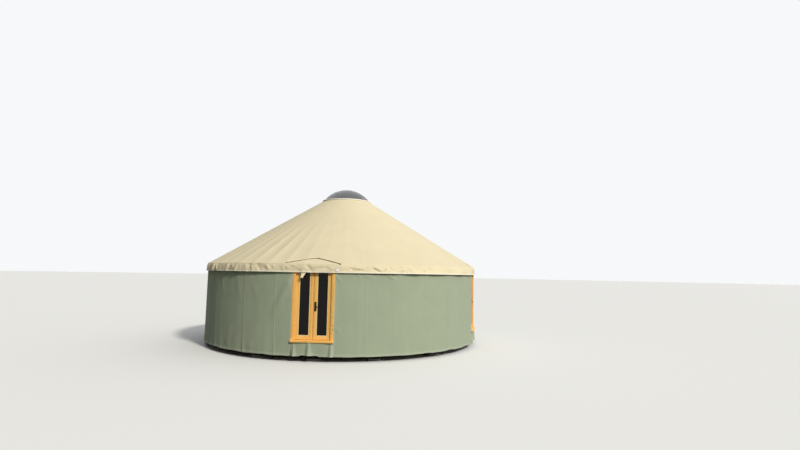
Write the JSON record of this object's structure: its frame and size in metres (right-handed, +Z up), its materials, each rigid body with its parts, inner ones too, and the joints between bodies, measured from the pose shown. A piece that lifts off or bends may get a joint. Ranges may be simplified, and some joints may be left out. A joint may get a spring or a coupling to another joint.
{
  "type": "canvas yurt on a low timber deck",
  "caption": "Round canvas yurt: lattice wall, cone roof on rafters, clear dome over the crown ring, glazed double doors and a timber deck on posts.",
  "frame": {"origin": "on the ground under the crown, at the middle of the centre pad", "axes": "+Z up along the yurt axis; the front door faces -Y; the side door faces 82 degrees round towards +X"},
  "size_m": [9.2323, 9.1964, 5.3305],
  "materials": {
    "pad": "cast concrete, rough",
    "post": "dark stained timber",
    "frame_timber": "sawn softwood",
    "floor": "oiled boards",
    "rim": "plywood edge",
    "lath": "planed softwood",
    "rafter": "planed softwood",
    "ring": "laminated timber, varnished",
    "cable": "galvanised wire rope",
    "curb": "dark powder coat",
    "dome": "clear smoke-tinted acrylic",
    "roof_canvas": "cream coated canvas",
    "wall_canvas": "sage green canvas",
    "door_wood": "oiled knotty pine",
    "glass": "clear float glass, double",
    "handle": "black satin coat",
    "hinge": "satin steel"
  },
  "bodies": {
    "root": {"bearers": "frame_timber", "crown_ring": "ring", "deck_rim": "rim", "dome": "dome", "dome_curb": "curb", "floor_deck": "floor", "front_door_frame": "door_wood", "front_door_sill": "door_wood", "front_jamb_hinges": "hinge", "front_skirt": "wall_canvas", "joists": "frame_timber", "lattice_back": "lath", "lattice_back_left": "lath", "lattice_back_right": "lath", "lattice_front_left": "lath", "lattice_front_right": "lath", "pier_pads": "pad", "pier_posts": "post", "rafters_back": "rafter", "rafters_front": "rafter", "rain_strips": "roof_canvas", "roof_canvas_1": "roof_canvas", "roof_canvas_2": "roof_canvas", "roof_canvas_3": "roof_canvas", "roof_canvas_4": "roof_canvas", "roof_canvas_5": "roof_canvas", "roof_canvas_6": "roof_canvas", "side_door_frame": "door_wood", "side_door_sill": "door_wood", "side_jamb_hinges": "hinge", "side_skirt": "wall_canvas", "tension_cable": "cable", "wall_canvas_back": "wall_canvas", "wall_canvas_back_left": "wall_canvas", "wall_canvas_back_right": "wall_canvas", "wall_canvas_front_left": "wall_canvas", "wall_canvas_front_right": "wall_canvas"},
    "front_right_door": {"front_right_leaf": "door_wood", "front_right_pane": "glass", "front_right_hinges": "hinge", "front_handle": "handle"},
    "front_left_door": {"front_left_leaf": "door_wood", "front_left_pane": "glass", "front_left_hinges": "hinge"},
    "side_right_door": {"side_right_leaf": "door_wood", "side_right_pane": "glass", "side_right_hinges": "hinge", "side_handle": "handle"},
    "side_left_door": {"side_left_leaf": "door_wood", "side_left_pane": "glass", "side_left_hinges": "hinge"}
  },
  "joints": [
    {"name": "front_right_hinge", "type": "hinge", "parent": "root", "child": "front_right_door", "pos_m": [0.4945, -4.4462, 0.578], "axis": [0, 0, -1], "range_deg": [0, 90]},
    {"name": "front_left_hinge", "type": "hinge", "parent": "root", "child": "front_left_door", "pos_m": [-0.4945, -4.4462, 0.578], "axis": [0, 0, 1], "range_deg": [0, 90]},
    {"name": "side_right_hinge", "type": "hinge", "parent": "root", "child": "side_right_door", "pos_m": [4.47175, -0.1291, 0.578], "axis": [0, 0, -1], "range_deg": [0, 90]},
    {"name": "side_left_hinge", "type": "hinge", "parent": "root", "child": "side_left_door", "pos_m": [4.33411, -1.10848, 0.578], "axis": [0, 0, 1], "range_deg": [0, 90]}
  ]
}
